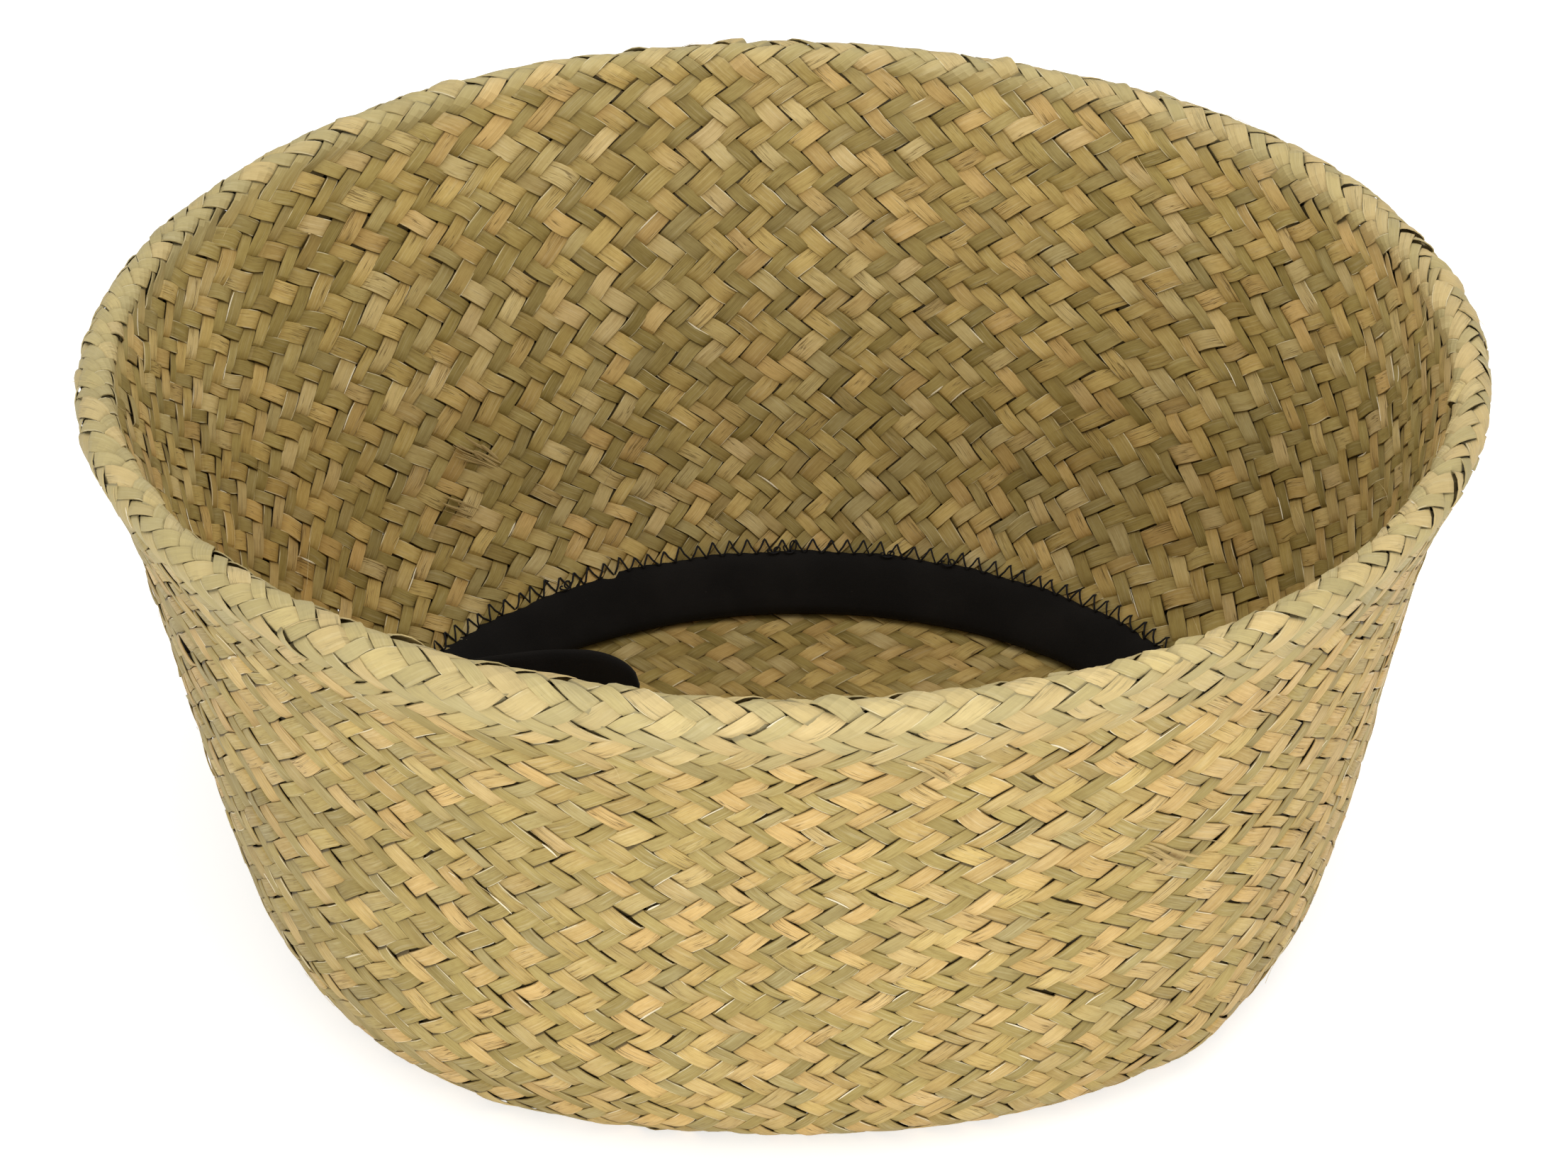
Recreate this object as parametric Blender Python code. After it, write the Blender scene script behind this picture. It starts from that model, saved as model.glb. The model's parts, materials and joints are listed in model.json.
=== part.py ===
"""A round seagrass belly basket, folded down.

The basket is plaited in one go, on the bias, from the middle of its floor to its rim. Its upper half
is pushed down inside the lower half, so the top of the folded basket is a soft roll of the plaited
wall, and the real rim stands low inside, just above the floor. The rim is bound with a black velour
tape, sewn on with a zigzag of black thread, and the end of the tape hangs loose inside.

Metres, Z up. The origin is the middle of the face that the basket stands on.
"""

import math

import bmesh
import bpy
from mathutils import Vector

# The folded basket as a whole
belly_radius = 0.210
folded_height = 0.1818
weave_thickness = 0.003
seam_gap = 0.0003
merge_share = 0.1
round_steps = 64

# The floor and the lower half of the wall. The foot is very slightly squared, with its flats to the
# front, the back and the sides.
wall_foot_radius_share = 0.7995
base_corner_radius = 0.018
base_corner_start = math.radians(-20)
floor_seam_inset = 0.005
foot_squareness_share = 0.025

# The fold, a roll of the wall
fold_roll_radius = 0.0058
fold_roll_outer_angle = math.radians(-24)
fold_roll_inner_angle = math.radians(200)

# The upper half, folded in, with its rim a little off the middle of the basket. The two gaps lie
# between the faces of the two halves: at the stitched edge, and where they press together.
rim_gap = 0.0279
pinch_gap = 0.0083
rim_lean = math.radians(25)
rim_drift_x = 0.006
rim_drift_y = -0.003

# The velour binding on the rim
binding_width = 0.0216
binding_pile = 0.0016
binding_edge_taper = 0.0010
binding_lip_share = 0.4
rim_inset = 0.0040

# The zigzag thread along the binding's upper edge
thread_diameter = 0.0007
stitch_pitch = 0.0056
stitch_reach_on_weave = 0.0034
stitch_bite_on_binding = 0.0012

# The loose end of the binding tape
tail_width = 0.0280
tail_thickness = 0.0040
tail_floor_clearance = 0.0004
tail_reach_x = 0.0697
tail_reach_y = 0.0228
tail_root_bearing = math.radians(160)
tail_columns = 18
tail_tip_columns = 7
tail_knuckle_columns = 4
tail_knuckle_start_share = 0.1
tail_tip_end_share = 0.93

# Shares of the folded height and of the belly radius, up the outside of the lower half
lower_height_shares = (0.160, 0.360, 0.580, 0.800)
lower_radius_shares = (0.829, 0.867, 0.903, 0.945)

# Shares of the way from the stitched edge up to the fold, and of the way from the pinch gap out to
# the rim gap, on the upper half
upper_height_shares = (0.200, 0.490, 0.780)
upper_gap_shares = (0.600, 0.255, 0.000)

# Handles of the loose end's curve, as shares of the way from its root to its tip
leaving_shares = (0.15, 0.90)
arriving_shares = (0.45, 1.00)
tail_step_share = 0.001


def paint(name, colour, roughness):
    material = bpy.data.materials.new(name)
    material.use_nodes = True
    shader = material.node_tree.nodes["Principled BSDF"]
    shader.inputs["Base Color"].default_value = (*colour, 1)
    shader.inputs["Roughness"].default_value = roughness
    shader.inputs["Metallic"].default_value = 0
    return material


def show(name, mesh_or_curve, material):
    thing = bpy.data.objects.new(name, mesh_or_curve)
    mesh_or_curve.materials.append(material)
    bpy.context.scene.collection.objects.link(thing)
    return thing


def smooth_run(points, steps=4):
    """A Catmull-Rom curve through the points, ends included."""
    padded = [points[0] * 2 - points[1], *points, points[-1] * 2 - points[-2]]
    run = []
    for a, b, c, d in zip(padded, padded[1:], padded[2:], padded[3:]):
        for step in range(steps):
            t = step / steps
            bend = (a * 2 - b * 5 + c * 4 - d) * t + (b * 3 - a - c * 3 + d) * t * t
            run.append(b + ((c - a) + bend) * t * 0.5)
    run.append(points[-1].copy())
    return run


def arc(centre, radius, start, end, steps):
    angles = [start + (end - start) * step / steps for step in range(steps + 1)]
    return [centre + Vector((math.cos(a), math.sin(a))) * radius for a in angles]


def stretch(face, back, start, end):
    """The outline of the wall between two distances along its face."""
    face_part = []
    back_part = []
    travelled = 0
    for index in range(len(face) - 1):
        step = (face[index + 1] - face[index]).length
        first = max(start - travelled, 0)
        last = min(end - travelled, step)
        if last > first:
            for distance in (last,) if face_part else (first, last):
                face_part.append(face[index].lerp(face[index + 1], distance / step))
                back_part.append(back[index].lerp(back[index + 1], distance / step))
        travelled += step
    return face_part + back_part[::-1]


def radius_at(line, height):
    """The radius of a falling line of radius and height, at one height."""
    above, below = next(pair for pair in zip(line, line[1:]) if pair[1].y <= height)
    return above.lerp(below, (above.y - height) / (above.y - below.y)).x


def length_of(line):
    return sum((there - here).length for here, there in zip(line, line[1:]))


def offset_right(line, distance):
    """The polyline moved to the right of its direction of travel, with mitred corners."""
    moved = []
    for index, point in enumerate(line):
        before = (point - line[index - 1]).normalized() if index else None
        after = (line[index + 1] - point).normalized() if index + 1 < len(line) else None
        before = before or after
        after = after or before
        right = Vector((before.y + after.y, -before.x - after.x)).normalized()
        stretch_at_corner = right.dot(Vector((after.y, -after.x)))
        moved.append(point + right * (distance / stretch_at_corner))
    return moved


def squared(spot):
    """The foot drawn in a little at its four flats, less and less up to the fold."""
    share = max(0, (fold_low - spot.z) / fold_low)
    drawn_in = 1 - foot_squareness_share * share * math.cos(4 * math.atan2(spot.y, spot.x))
    return Vector((spot.x * drawn_in, spot.y * drawn_in, spot.z))


def drifted(spot):
    """The rim moved off the middle, and the wall above it less and less up to the fold."""
    share = min(1, max(0, (fold_low - spot.z) / (fold_low - rim_zone_top)))
    return spot + rim_drift * (share * share * (3 - 2 * share))


def turned(name, outline, material, settle):
    """A closed outline of radius and height, spun about Z and then settled into place."""
    solid = bmesh.new()
    corners = [solid.verts.new((max(point.x, 0), 0, point.y)) for point in outline]
    for here, there in zip(corners, corners[1:] + corners[:1]):
        if here.co.x or there.co.x:
            solid.edges.new((here, there))
    bmesh.ops.spin(
        solid,
        geom=solid.verts[:] + solid.edges[:],
        axis=(0, 0, 1),
        cent=(0, 0, 0),
        angle=math.tau,
        steps=round_steps,
        use_merge=True,
    )
    bmesh.ops.remove_doubles(solid, verts=solid.verts, dist=seam_gap * merge_share)
    bmesh.ops.recalc_face_normals(solid, faces=solid.faces)
    for vert in solid.verts:
        vert.co = settle(vert.co)
    mesh = bpy.data.meshes.new(name)
    solid.to_mesh(mesh)
    solid.free()
    mesh.shade_smooth()
    return show(name, mesh, material)


for old in list(bpy.data.objects):
    bpy.data.objects.remove(old)

seagrass_outside = paint("seagrass_outside", (0.50, 0.40, 0.19), 0.62)
seagrass_inside = paint("seagrass_inside", (0.36, 0.29, 0.12), 0.66)
velour = paint("black_velour", (0.012, 0.011, 0.012), 0.95)
sewing_thread = paint("black_thread", (0.010, 0.010, 0.012), 0.60)

# The meridian of the plaiting. The same side of the weave shows on the upper half, over the fold
# and down the lower half, so one line from the rim to the middle of the floor carries all of them.
fold_low = folded_height - fold_roll_radius * 2
fold_centre = Vector((belly_radius - fold_roll_radius, folded_height - fold_roll_radius))
fold_arc = arc(fold_centre, fold_roll_radius, fold_roll_inner_angle, fold_roll_outer_angle, 9)

corner_centre = Vector((belly_radius * wall_foot_radius_share - base_corner_radius, base_corner_radius))
corner_arc = arc(corner_centre, base_corner_radius, base_corner_start, math.radians(-90), 5)
lower_places = [
    Vector((belly_radius * radius_share, folded_height * height_share))
    for height_share, radius_share in zip(lower_height_shares, lower_radius_shares)
]
lower_face = smooth_run([fold_arc[-1], *lower_places[::-1], corner_arc[0]], 2)

rim_down = Vector((-math.sin(rim_lean), -math.cos(rim_lean)))
rim_face = Vector((-math.cos(rim_lean), math.sin(rim_lean)))
slot_half = weave_thickness * 0.5 + seam_gap
binding_half = slot_half + binding_pile
binding_turn = binding_width - binding_half
weave_middle_height = weave_thickness + seam_gap + binding_half + binding_turn * math.cos(rim_lean)
weave_middle_radius = radius_at(lower_face, weave_middle_height) - rim_gap
weave_middle = Vector((weave_middle_radius, weave_middle_height))
stitched_edge = weave_middle + rim_face * (weave_thickness * 0.5)
rim_end = stitched_edge + rim_down * (binding_width - rim_inset)
rim_zone_top = stitched_edge.y + stitch_reach_on_weave + weave_thickness
rim_drift = Vector((rim_drift_x, rim_drift_y, 0))

upper_places = []
for height_share, gap_share in zip(upper_height_shares, upper_gap_shares):
    height = stitched_edge.y + (fold_arc[0].y - stitched_edge.y) * height_share
    gap = pinch_gap + (rim_gap - pinch_gap) * gap_share
    upper_places.append(Vector((radius_at(lower_face, height) - gap, height)))
upper_face = smooth_run([stitched_edge, *upper_places, fold_arc[0]], 2)
meridian = [rim_end, *upper_face, *fold_arc[1:], *lower_face[1:], *corner_arc[1:], Vector((0, 0))]

to_fold = length_of([rim_end, *upper_face])
over_fold = to_fold + length_of(fold_arc)
to_axis = length_of(meridian)
to_floor = to_axis - corner_centre.x + floor_seam_inset

# The plaited floor, the lower half that stands on it, the roll at the fold, and the upper half
back = offset_right(meridian, weave_thickness)
for name, start, end, material, settle in (
    ("plaited_floor", to_floor + seam_gap, to_axis, seagrass_inside, squared),
    ("lower_wall", over_fold + seam_gap, to_floor, seagrass_outside, squared),
    ("fold_roll", to_fold + seam_gap, over_fold, seagrass_outside, squared),
    ("folded_in_wall", 0, to_fold, seagrass_inside, drifted),
):
    turned(name, stretch(meridian, back, start, end), material, settle)

# The binding straddles the rim: two leaves with tapered edges, joined round the rim's end
slot_depth = binding_width - rim_inset + seam_gap
turn_steps = 6


def on_rim(down, across):
    return weave_middle + rim_down * down + rim_face * across


binding_bottom = [
    on_rim(binding_turn + binding_half * math.cos(angle), -binding_half * math.sin(angle))
    for angle in [math.pi * (0.5 - step / turn_steps) for step in range(turn_steps + 1)]
]
binding_outline = [
    on_rim(0, -slot_half - binding_pile * binding_lip_share),
    on_rim(binding_edge_taper, -binding_half),
    *binding_bottom,
    on_rim(binding_edge_taper, binding_half),
    on_rim(0, slot_half + binding_pile * binding_lip_share),
    on_rim(0, slot_half),
    on_rim(slot_depth, slot_half),
    on_rim(slot_depth, -slot_half),
    on_rim(0, -slot_half),
]
turned("rim_binding", binding_outline, velour, drifted)

# The zigzag: one unbroken thread whose corners lie in turn on the weave and on the binding
thread_radius = thread_diameter * 0.5
stitch_count = round(math.tau * stitched_edge.x / stitch_pitch)
on_weave = on_rim(-stitch_reach_on_weave, weave_thickness * 0.5 + seam_gap + thread_radius)
on_binding = on_rim(stitch_bite_on_binding, binding_half + seam_gap + thread_radius)
leg_slope = math.atan2((on_weave - on_binding).length, stitch_pitch * 0.5)
mitre = thread_radius / math.cos(leg_slope)
thread_mesh = bmesh.new()
rings = []
for corner in range(stitch_count * 2):
    bearing = math.pi * corner / stitch_count
    place = on_binding if corner % 2 else on_weave
    section = [
        place + rim_down * mitre,
        place + rim_face * thread_radius,
        place - rim_down * mitre,
        place - rim_face * thread_radius,
    ]
    spots = [Vector((p.x * math.cos(bearing), p.x * math.sin(bearing), p.y)) for p in section]
    rings.append([thread_mesh.verts.new(drifted(spot)) for spot in spots])
for ring, following in zip(rings, rings[1:] + rings[:1]):
    for side in range(4):
        beside = (side + 1) % 4
        thread_mesh.faces.new((ring[side], ring[beside], following[beside], following[side]))
bmesh.ops.recalc_face_normals(thread_mesh, faces=thread_mesh.faces)
stitching = bpy.data.meshes.new("zigzag_stitching")
thread_mesh.to_mesh(stitching)
show("zigzag_stitching", stitching, sewing_thread)

# The tape's loose end: a strap on edge that leaves the binding and curls in to a round tip. It
# hangs on a vertical line of sewing, about which its end is rounded.
tail_half = tail_thickness * 0.5
tail_low = weave_thickness + tail_floor_clearance
tail_middle = tail_low + tail_width * 0.5
binding_inside = min(point.x for point in binding_outline)
root_radius = binding_inside - seam_gap - tail_half
root_way = Vector((math.cos(tail_root_bearing), math.sin(tail_root_bearing)))
root = rim_drift.xy + root_way * root_radius
span = Vector((tail_reach_x, tail_reach_y))
tip = root + span
leaving = root + Vector((span.x * leaving_shares[0], span.y * leaving_shares[1]))
arriving = root + Vector((span.x * arriving_shares[0], span.y * arriving_shares[1]))


def along_tail(t):
    u = 1 - t
    return root * u**3 + leaving * (3 * u * u * t) + arriving * (3 * u * t * t) + tip * t**3


def tail_frame(t):
    before = along_tail(max(t - tail_step_share, 0))
    ahead = (along_tail(min(t + tail_step_share, 1)) - before).normalized()
    return along_tail(t), ahead, Vector((-ahead.y, ahead.x))


tail_length = length_of([along_tail(step / tail_columns) for step in range(tail_columns + 1)])
tip_share = 1 - tail_width * 0.5 / tail_length
columns = []
for step in range(tail_knuckle_columns):
    turn = math.pi * 0.5 * (1 - tail_knuckle_start_share - step / tail_knuckle_columns)
    columns.append((0, -tail_half * math.sin(turn), tail_half * math.cos(turn), 1))
for step in range(tail_columns):
    columns.append((tip_share * step / tail_columns, 0, tail_half, 1))
for step in range(tail_tip_columns):
    turn = math.pi * 0.5 * tail_tip_end_share * step / (tail_tip_columns - 1)
    share = tip_share + (1 - tip_share) * math.sin(turn)
    columns.append((share, 0, tail_half, math.cos(turn)))

tail_mesh = bmesh.new()
rings = []
for share, behind, half_thick, fullness in columns:
    place, ahead, aside = tail_frame(share)
    place = place + ahead * behind - root
    half_wide = tail_width * 0.5 * fullness
    ring = []
    for across, up in ((1, -1), (1, 1), (-1, 1), (-1, -1)):
        spot = place + aside * (half_thick * across)
        ring.append(tail_mesh.verts.new((spot.x, spot.y, half_wide * up)))
    rings.append(ring)
for ring, following in zip(rings, rings[1:]):
    for side in range(4):
        beside = (side + 1) % 4
        tail_mesh.faces.new((ring[side], ring[beside], following[beside], following[side]))
tail_mesh.faces.new(rings[0])
tail_mesh.faces.new(rings[-1])
bmesh.ops.recalc_face_normals(tail_mesh, faces=tail_mesh.faces)
tail = bpy.data.meshes.new("binding_tail")
tail_mesh.to_mesh(tail)
tail_piece = show("binding_tail", tail, velour)
tail_hinge = bpy.data.objects.new("tail_hinge", None)
bpy.context.scene.collection.objects.link(tail_hinge)
tail_hinge.location = (root.x, root.y, tail_middle)
tail_piece.parent = tail_hinge
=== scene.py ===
from collections import namedtuple
import json
import math

import bpy
import numpy as np
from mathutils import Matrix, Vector


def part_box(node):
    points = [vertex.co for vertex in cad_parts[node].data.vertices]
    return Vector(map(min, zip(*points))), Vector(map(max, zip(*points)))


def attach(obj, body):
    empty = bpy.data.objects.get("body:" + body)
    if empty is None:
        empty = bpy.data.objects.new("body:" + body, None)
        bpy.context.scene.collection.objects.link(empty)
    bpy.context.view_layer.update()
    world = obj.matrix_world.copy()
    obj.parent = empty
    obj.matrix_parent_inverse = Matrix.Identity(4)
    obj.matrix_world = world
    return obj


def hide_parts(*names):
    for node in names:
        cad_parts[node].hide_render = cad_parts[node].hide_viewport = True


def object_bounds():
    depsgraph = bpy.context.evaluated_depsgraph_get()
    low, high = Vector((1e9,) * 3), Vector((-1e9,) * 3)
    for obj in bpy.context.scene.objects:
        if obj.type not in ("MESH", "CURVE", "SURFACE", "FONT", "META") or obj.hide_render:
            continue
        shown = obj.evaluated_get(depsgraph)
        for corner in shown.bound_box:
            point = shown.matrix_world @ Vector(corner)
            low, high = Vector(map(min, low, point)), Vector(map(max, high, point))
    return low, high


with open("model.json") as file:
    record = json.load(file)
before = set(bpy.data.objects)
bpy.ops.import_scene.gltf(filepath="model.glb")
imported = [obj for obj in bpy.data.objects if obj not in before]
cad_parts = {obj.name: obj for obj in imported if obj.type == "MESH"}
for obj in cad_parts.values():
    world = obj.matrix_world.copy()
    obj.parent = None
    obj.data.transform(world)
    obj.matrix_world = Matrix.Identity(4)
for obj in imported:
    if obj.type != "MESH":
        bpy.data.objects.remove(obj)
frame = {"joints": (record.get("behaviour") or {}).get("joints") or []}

cad_low, cad_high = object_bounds()

# The seagrass shell is one plait, worked on the bias from the floor to the rim. Its upper half is
# pushed down inside the lower half, so one meridian runs from the rim up the folded-in wall, over
# the fold and down the outside to the foot. Every strand lies on the surface that it turns.
belly_radius = cad_high.x
folded_height = cad_high.z
weave_thickness = 0.003
wall_foot_radius_share = 0.7995
base_corner_radius = 0.018
base_corner_start = math.radians(-20)
foot_sides = 4
foot_squareness_share = 0.025
fold_roll_radius = 0.0058
fold_angles = (math.radians(200), math.radians(-24))
rim_gap = 0.0279
pinch_gap = 0.0083
rim_lean = math.radians(25)
rim_drift = (0.006, -0.003)
rim_zone_reach = 0.0064
binding_half_thickness = 0.0034
binding_width = 0.0216
rim_inset = 0.0040
lower_height_shares = (0.160, 0.360, 0.580, 0.800)
lower_radius_shares = (0.829, 0.867, 0.903, 0.945)
upper_height_shares = (0.200, 0.490, 0.780)
upper_gap_shares = (0.600, 0.255, 0.000)
foot_seam_radius = 0.1462
lowest_height = 0.0001
meridian_steps = 1600
soften_steps = 19


def rounded_run(points, steps=12):
    """A Catmull-Rom curve through the points, ends included."""
    padded = [points[0] * 2 - points[1], *points, points[-1] * 2 - points[-2]]
    run = []
    for a, b, c, d in zip(padded, padded[1:], padded[2:], padded[3:]):
        for step in range(steps):
            t = step / steps
            bend = (a * 2 - b * 5 + c * 4 - d) * t + (b * 3 - a - c * 3 + d) * t * t
            run.append(b + ((c - a) + bend) * t * 0.5)
    run.append(points[-1].copy())
    return run


def arc(centre, radius, start, end, steps=24):
    angles = [start + (end - start) * step / steps for step in range(steps + 1)]
    return [centre + Vector((math.cos(a), math.sin(a))) * radius for a in angles]


def radius_at(line, height):
    above, below = next(pair for pair in zip(line, line[1:]) if pair[1].y <= height)
    return above.lerp(below, (above.y - height) / (above.y - below.y)).x


def softened(slopes):
    """The meridian's slopes without its small kinks."""
    window = np.hanning(soften_steps)
    return np.convolve(np.pad(slopes, soften_steps // 2, mode="edge"), window / window.sum(), "valid")


fold_centre = Vector((belly_radius - fold_roll_radius, folded_height - fold_roll_radius))
fold_arc = arc(fold_centre, fold_roll_radius, *fold_angles)
corner_centre = Vector((belly_radius * wall_foot_radius_share - base_corner_radius, base_corner_radius))
corner_arc = arc(corner_centre, base_corner_radius, base_corner_start, -math.pi / 2)
lower_places = [
    Vector((belly_radius * radius_share, folded_height * height_share))
    for height_share, radius_share in zip(lower_height_shares, lower_radius_shares)
]
lower_face = rounded_run([fold_arc[-1], *lower_places[::-1], corner_arc[0]])

rim_down = Vector((-math.sin(rim_lean), -math.cos(rim_lean)))
rim_face = Vector((-math.cos(rim_lean), math.sin(rim_lean)))
binding_turn = binding_width - binding_half_thickness
rim_middle_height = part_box("rim_binding")[0].z + binding_half_thickness + binding_turn * math.cos(rim_lean)
rim_middle = Vector((radius_at(lower_face, rim_middle_height) - rim_gap, rim_middle_height))
stitched_edge = rim_middle + rim_face * (weave_thickness * 0.5)
rim_end = stitched_edge + rim_down * (binding_width - rim_inset)
upper_places = []
for height_share, gap_share in zip(upper_height_shares, upper_gap_shares):
    height = stitched_edge.y + (fold_arc[0].y - stitched_edge.y) * height_share
    gap = pinch_gap + (rim_gap - pinch_gap) * gap_share
    upper_places.append(Vector((radius_at(lower_face, height) - gap, height)))
upper_face = rounded_run([stitched_edge, *upper_places, fold_arc[0]])
foot_seam = Vector((foot_seam_radius, 0))
meridian = np.array([rim_end, *upper_face, *fold_arc[1:], *lower_face[1:], *corner_arc[1:], foot_seam])

steps_along = np.hypot(*np.diff(meridian, axis=0).T)
runs = np.concatenate([[0], np.cumsum(steps_along)])
whole_run = runs[-1]
even_runs = np.linspace(0, whole_run, meridian_steps)
even_radii = np.interp(even_runs, runs, meridian[:, 0])
even_heights = np.interp(even_runs, runs, meridian[:, 1])
face_radii = softened(-np.gradient(even_heights, even_runs))
face_heights = softened(np.gradient(even_radii, even_runs))
fold_top_run = even_runs[np.argmax(even_heights)]
fold_low = folded_height - fold_roll_radius * 2
rim_zone_top = stitched_edge.y + rim_zone_reach


def on_plait(bearing, run, lift):
    """Points of the shell, at a bearing about Z, a run from the rim, and a lift off its face."""
    across = np.interp(run, even_runs, face_radii)
    up = np.interp(run, even_runs, face_heights)
    size = np.hypot(across, up)
    radius = np.interp(run, even_runs, even_radii) + lift * across / size
    height = np.interp(run, even_runs, even_heights) + lift * up / size
    inside = run < fold_top_run
    below_fold = np.clip((fold_low - height) / fold_low, 0, 1)
    squared = 1 - foot_squareness_share * below_fold * np.cos(foot_sides * bearing)
    radius = np.where(inside, radius, radius * squared)
    drift = np.clip((fold_low - height) / (fold_low - rim_zone_top), 0, 1)
    drift = np.where(inside, drift * drift * (3 - 2 * drift), 0)
    x = radius * np.cos(bearing) + drift * rim_drift[0]
    y = radius * np.sin(bearing) + drift * rim_drift[1]
    return np.stack([x, y, np.clip(height, lowest_height, None)], -1)


# The strands are split seagrass leaves, laid wide and narrow by turns, 136 rising to each hand. Each
# goes over two and under two of the other hand, and the overs of one hand lie side by side in
# level bands, so the bands slope one way and the other by turns up the wall.
strands_each_way = 136
weave_repeat = 4
row_rise = 0.00335
crossing_step = 0.0057
strand_half_width = 0.00275
wide_share = 0.13
width_noise = 0.06
over_lift = 0.00064
strand_middle = -0.00072
across_places = np.array([-1, -0.955, 0, 0.955, 1])
edge_drops = np.array([0.00042, 0.00004, 0, 0.00004, 0.00042])
crease_angle = math.radians(16)
# Where a float and the stretch under the next have their rings, as shares, with the lift and width
float_places = np.array([0.0, 0.08, 0.26, 0.5, 0.74, 0.92])
float_lifts = np.array([0.40, 0.78, 1.02, 1.10, 1.02, 0.78])
float_widths = np.array([0.96, 0.99, 1.0, 1.01, 1.0, 0.99])
under_places = np.array([0.0, 0.14, 0.5, 0.86])
under_lifts = np.array([0.40, -0.9, -1.1, -0.9])
under_width = 0.95
# Which end of a float each ring is at: -1 where it comes up, 1 where it goes down, 2 below the others
float_ends = [-1, 0, 0, 0, 0, 0]
under_ends = [1, 2, 2, 2]
# How near each ring is to the crown of its float; its ends are painted in shade, darker than the crown
float_crowns = [0.0, 0.45, 0.92, 1.0, 0.92, 0.45]
under_crowns = [0.0, 0.0, 0.0, 0.0]
# How unevenly the hand lays the floats, in height, slope, bow, place and width
proud_noise = 0.18
proudest_share = 0.04
proudest_rise = 0.7
slope_noise = 0.16
bow_noise = 0.028
place_noise = 0.030
fullness_noise = 0.03
strand_sway = 0.024
sway_turns = (0.31, 0.68, 1.27)
# The margins of the OFBake chart, along a strand and beside it
chart_margin = 0.002
chart_gap = 0.06

Hand = namedtuple("Hand", "rising middles widths crossing crossing_widths")


def strand_widths(count, seed):
    """Widths in shares of the mean, wide and narrow by turns, and the strands' middles."""
    pick = np.random.default_rng(seed)
    widths = 1 + wide_share * np.where(np.arange(count) % 2, -1, 1) + pick.normal(0, width_noise, count)
    widths *= count / widths.sum()
    return widths, np.cumsum(widths) - widths / 2


def both_hands(count, right_seed, left_seed):
    """The strands that rise to the right and those that rise to the left, with what each crosses."""
    widths_right, middles_right = strand_widths(count, right_seed)
    widths_left, middles_left = strand_widths(count, left_seed)
    return (
        Hand(True, middles_right, widths_right, middles_left, widths_left),
        Hand(False, middles_left, widths_left, middles_right, widths_right),
    )


def float_span(hand, strand, number):
    """Where a strand's float of that number comes up and goes down, and where its next comes up."""
    index = strand + (0 if hand.rising else 1) + weave_repeat * number
    count = len(hand.crossing)

    def edge(place, side):
        middle = hand.crossing[place % count] + count * (place // count)
        return middle + side * hand.crossing_widths[place % count] / 2

    return edge(index, -1), edge(index + 1, 1), edge(index + weave_repeat, -1)


def strand_rings(hand, strand, low, high, pick):
    """One strand in plait units, ring by ring: place, own place, lift, width, float, end and crown."""
    own, width = hand.middles[strand], hand.widths[strand]
    places, owns, lifts, widths, floats, ends, crowns = [], [], [], [], [], [], []
    sway_starts = pick.uniform(0, math.tau, len(sway_turns))
    start = int(math.floor(low / weave_repeat)) - 2
    unders = len(under_places)
    for number in range(start, int(math.ceil(high / weave_repeat)) + 2):
        begin, end, next_begin = float_span(hand, strand, number)
        proud = 1 + pick.normal(0, proud_noise) + (proudest_rise if pick.random() < proudest_share else 0)
        ramp = pick.normal(0, slope_noise) * (2 * float_places - 1)
        bow = pick.normal(0, bow_noise)
        sway = bow * (1 - (2 * float_places - 1) ** 2) + pick.normal(0, place_noise) - bow * 0.5
        places += [*(begin + (end - begin) * float_places), *(end + (next_begin - end) * under_places)]
        owns += [*(own + sway), *np.full(unders, own + sway[-1])]
        lifts += [*((float_lifts * proud + ramp) * over_lift), *(under_lifts * over_lift)]
        fullness = width * (1 + pick.normal(0, fullness_noise))
        widths += [*(float_widths * fullness), *np.full(unders, under_width * fullness)]
        floats += [number - start] * (len(float_places) + unders)
        ends += float_ends + under_ends
        crowns += float_crowns + under_crowns
    columns = [np.array(values, float) for values in (places, owns, lifts, widths, floats, ends, crowns)]
    places, owns = columns[:2]
    for sway_start, turn in zip(sway_starts, sway_turns):
        owns += strand_sway * np.sin(turn * places + sway_start)
    keep = (places - own >= low) & (places - own <= high)
    places, owns, lifts, widths, floats, ends, crowns = (values[keep] for values in columns)
    return places, owns, lifts, widths, floats.astype(int), ends, crowns


def placed(name, data):
    """An object of that mesh, curve, lamp or camera, in the scene."""
    thing = bpy.data.objects.new(name, data)
    bpy.context.scene.collection.objects.link(thing)
    return thing


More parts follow.
